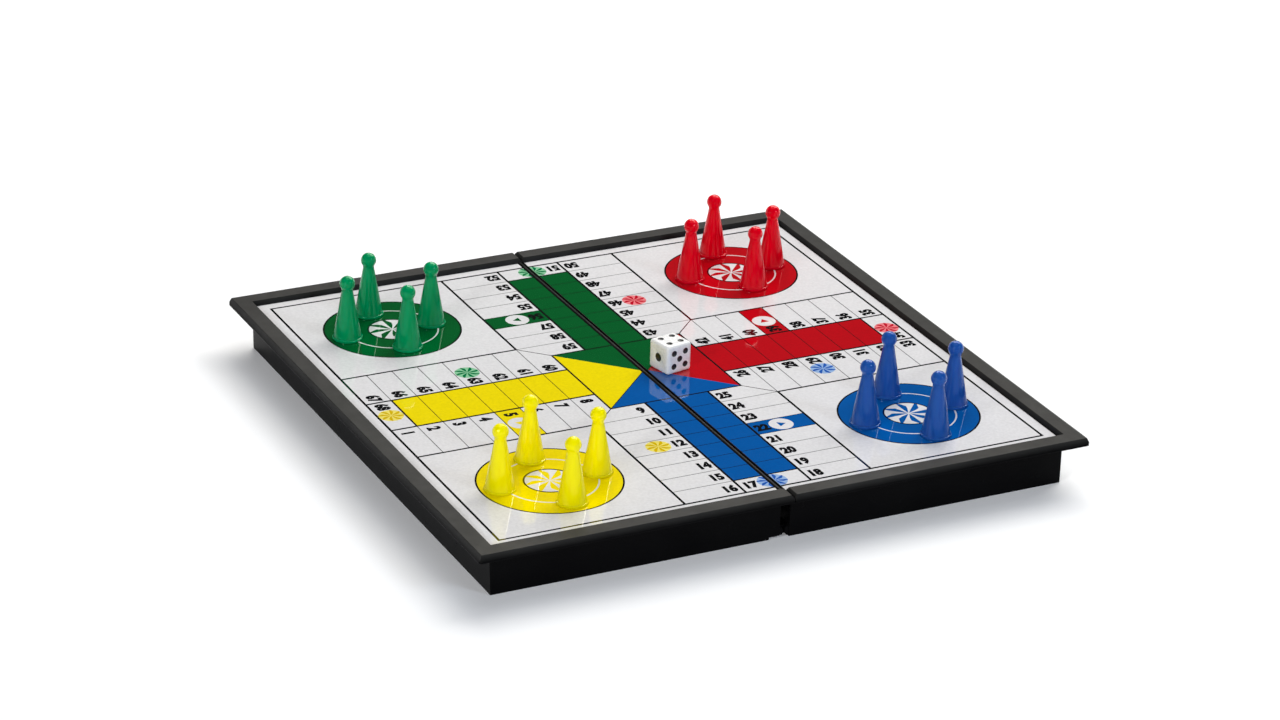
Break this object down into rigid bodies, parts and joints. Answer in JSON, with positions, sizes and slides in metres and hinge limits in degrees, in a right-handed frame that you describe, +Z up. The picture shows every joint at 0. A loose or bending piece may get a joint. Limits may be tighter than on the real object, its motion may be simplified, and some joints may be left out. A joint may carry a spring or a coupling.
{
  "type": "folding ludo board box",
  "caption": "Folding box whose two hinged half trays open flat into a magnetic ludo board and close over the space that stores the pawns and die.",
  "frame": {"origin": "centre of the open board on the surface it stands on, on the fold line", "axes": "+X across the fold towards the right half, +Y along the fold towards the back, +Z up out of the printed face"},
  "size_m": [0.252, 0.25, 0.0447],
  "materials": {
    "tray_plastic": "fine moulded texture with a soft sheen",
    "sheet_steel": "plain tinned sheet",
    "printed_sheet": "glossy laminated print",
    "pin_steel": "drawn steel wire",
    "magnet_nickel": "nickel plate",
    "magnet_ferrite": "ground ferrite",
    "pawn_green": "glossy translucent plastic",
    "pawn_red": "glossy translucent plastic",
    "pawn_blue": "glossy translucent plastic",
    "pawn_yellow": "glossy translucent plastic",
    "die_white": "polished plastic with painted pips"
  },
  "bodies": {
    "right_half": {"tray_right": "tray_plastic", "steel_sheet_right": "sheet_steel", "printed_face_right": "printed_sheet", "hinge_pins_right": "pin_steel", "closing_magnets_right": "magnet_nickel"},
    "hinge_links": {"hinge_link_front": "tray_plastic", "hinge_link_rear": "tray_plastic"},
    "left_half": {"tray_left": "tray_plastic", "steel_sheet_left": "sheet_steel", "printed_face_left": "printed_sheet", "hinge_pins_left": "pin_steel", "closing_magnets_left": "magnet_nickel"},
    "green_pawn_1": {"pawn_green_1": "pawn_green", "magnet_green_1": "magnet_ferrite"},
    "green_pawn_2": {"pawn_green_2": "pawn_green", "magnet_green_2": "magnet_ferrite"},
    "green_pawn_3": {"pawn_green_3": "pawn_green", "magnet_green_3": "magnet_ferrite"},
    "green_pawn_4": {"pawn_green_4": "pawn_green", "magnet_green_4": "magnet_ferrite"},
    "red_pawn_1": {"pawn_red_1": "pawn_red", "magnet_red_1": "magnet_ferrite"},
    "red_pawn_2": {"pawn_red_2": "pawn_red", "magnet_red_2": "magnet_ferrite"},
    "red_pawn_3": {"pawn_red_3": "pawn_red", "magnet_red_3": "magnet_ferrite"},
    "red_pawn_4": {"pawn_red_4": "pawn_red", "magnet_red_4": "magnet_ferrite"},
    "blue_pawn_1": {"pawn_blue_1": "pawn_blue", "magnet_blue_1": "magnet_ferrite"},
    "blue_pawn_2": {"pawn_blue_2": "pawn_blue", "magnet_blue_2": "magnet_ferrite"},
    "blue_pawn_3": {"pawn_blue_3": "pawn_blue", "magnet_blue_3": "magnet_ferrite"},
    "blue_pawn_4": {"pawn_blue_4": "pawn_blue", "magnet_blue_4": "magnet_ferrite"},
    "yellow_pawn_1": {"pawn_yellow_1": "pawn_yellow", "magnet_yellow_1": "magnet_ferrite"},
    "yellow_pawn_2": {"pawn_yellow_2": "pawn_yellow", "magnet_yellow_2": "magnet_ferrite"},
    "yellow_pawn_3": {"pawn_yellow_3": "pawn_yellow", "magnet_yellow_3": "magnet_ferrite"},
    "yellow_pawn_4": {"pawn_yellow_4": "pawn_yellow", "magnet_yellow_4": "magnet_ferrite"},
    "die": {"die": "die_white"}
  },
  "joints": [
    {"name": "link_fold", "type": "hinge", "parent": "right_half", "child": "hinge_links", "pos_m": [0.0024, 0, 0.0023], "axis": [0, -1, 0], "range_deg": [0, 90]},
    {"name": "left_fold", "type": "hinge", "parent": "hinge_links", "child": "left_half", "pos_m": [-0.0024, 0, 0.0023], "axis": [0, -1, 0], "range_deg": [0, 90]},
    {"name": "green_pawn_1_lift", "type": "slide", "parent": "left_half", "child": "green_pawn_1", "axis": [0, 0, 1], "range_m": [0, 0.03]},
    {"name": "green_pawn_2_lift", "type": "slide", "parent": "left_half", "child": "green_pawn_2", "axis": [0, 0, 1], "range_m": [0, 0.03]},
    {"name": "green_pawn_3_lift", "type": "slide", "parent": "left_half", "child": "green_pawn_3", "axis": [0, 0, 1], "range_m": [0, 0.03]},
    {"name": "green_pawn_4_lift", "type": "slide", "parent": "left_half", "child": "green_pawn_4", "axis": [0, 0, 1], "range_m": [0, 0.03]},
    {"name": "red_pawn_1_lift", "type": "slide", "parent": "right_half", "child": "red_pawn_1", "axis": [0, 0, 1], "range_m": [0, 0.03]},
    {"name": "red_pawn_2_lift", "type": "slide", "parent": "right_half", "child": "red_pawn_2", "axis": [0, 0, 1], "range_m": [0, 0.03]},
    {"name": "red_pawn_3_lift", "type": "slide", "parent": "right_half", "child": "red_pawn_3", "axis": [0, 0, 1], "range_m": [0, 0.03]},
    {"name": "red_pawn_4_lift", "type": "slide", "parent": "right_half", "child": "red_pawn_4", "axis": [0, 0, 1], "range_m": [0, 0.03]},
    {"name": "blue_pawn_1_lift", "type": "slide", "parent": "right_half", "child": "blue_pawn_1", "axis": [0, 0, 1], "range_m": [0, 0.03]},
    {"name": "blue_pawn_2_lift", "type": "slide", "parent": "right_half", "child": "blue_pawn_2", "axis": [0, 0, 1], "range_m": [0, 0.03]},
    {"name": "blue_pawn_3_lift", "type": "slide", "parent": "right_half", "child": "blue_pawn_3", "axis": [0, 0, 1], "range_m": [0, 0.03]},
    {"name": "blue_pawn_4_lift", "type": "slide", "parent": "right_half", "child": "blue_pawn_4", "axis": [0, 0, 1], "range_m": [0, 0.03]},
    {"name": "yellow_pawn_1_lift", "type": "slide", "parent": "left_half", "child": "yellow_pawn_1", "axis": [0, 0, 1], "range_m": [0, 0.03]},
    {"name": "yellow_pawn_2_lift", "type": "slide", "parent": "left_half", "child": "yellow_pawn_2", "axis": [0, 0, 1], "range_m": [0, 0.03]},
    {"name": "yellow_pawn_3_lift", "type": "slide", "parent": "left_half", "child": "yellow_pawn_3", "axis": [0, 0, 1], "range_m": [0, 0.03]},
    {"name": "yellow_pawn_4_lift", "type": "slide", "parent": "left_half", "child": "yellow_pawn_4", "axis": [0, 0, 1], "range_m": [0, 0.03]},
    {"name": "die_lift", "type": "slide", "parent": "right_half", "child": "die", "axis": [0, 0, 1], "range_m": [0, 0.03]}
  ],
  "couplings": [
    {"joint": "link_fold", "follows": "left_fold", "ratio": 1}
  ]
}
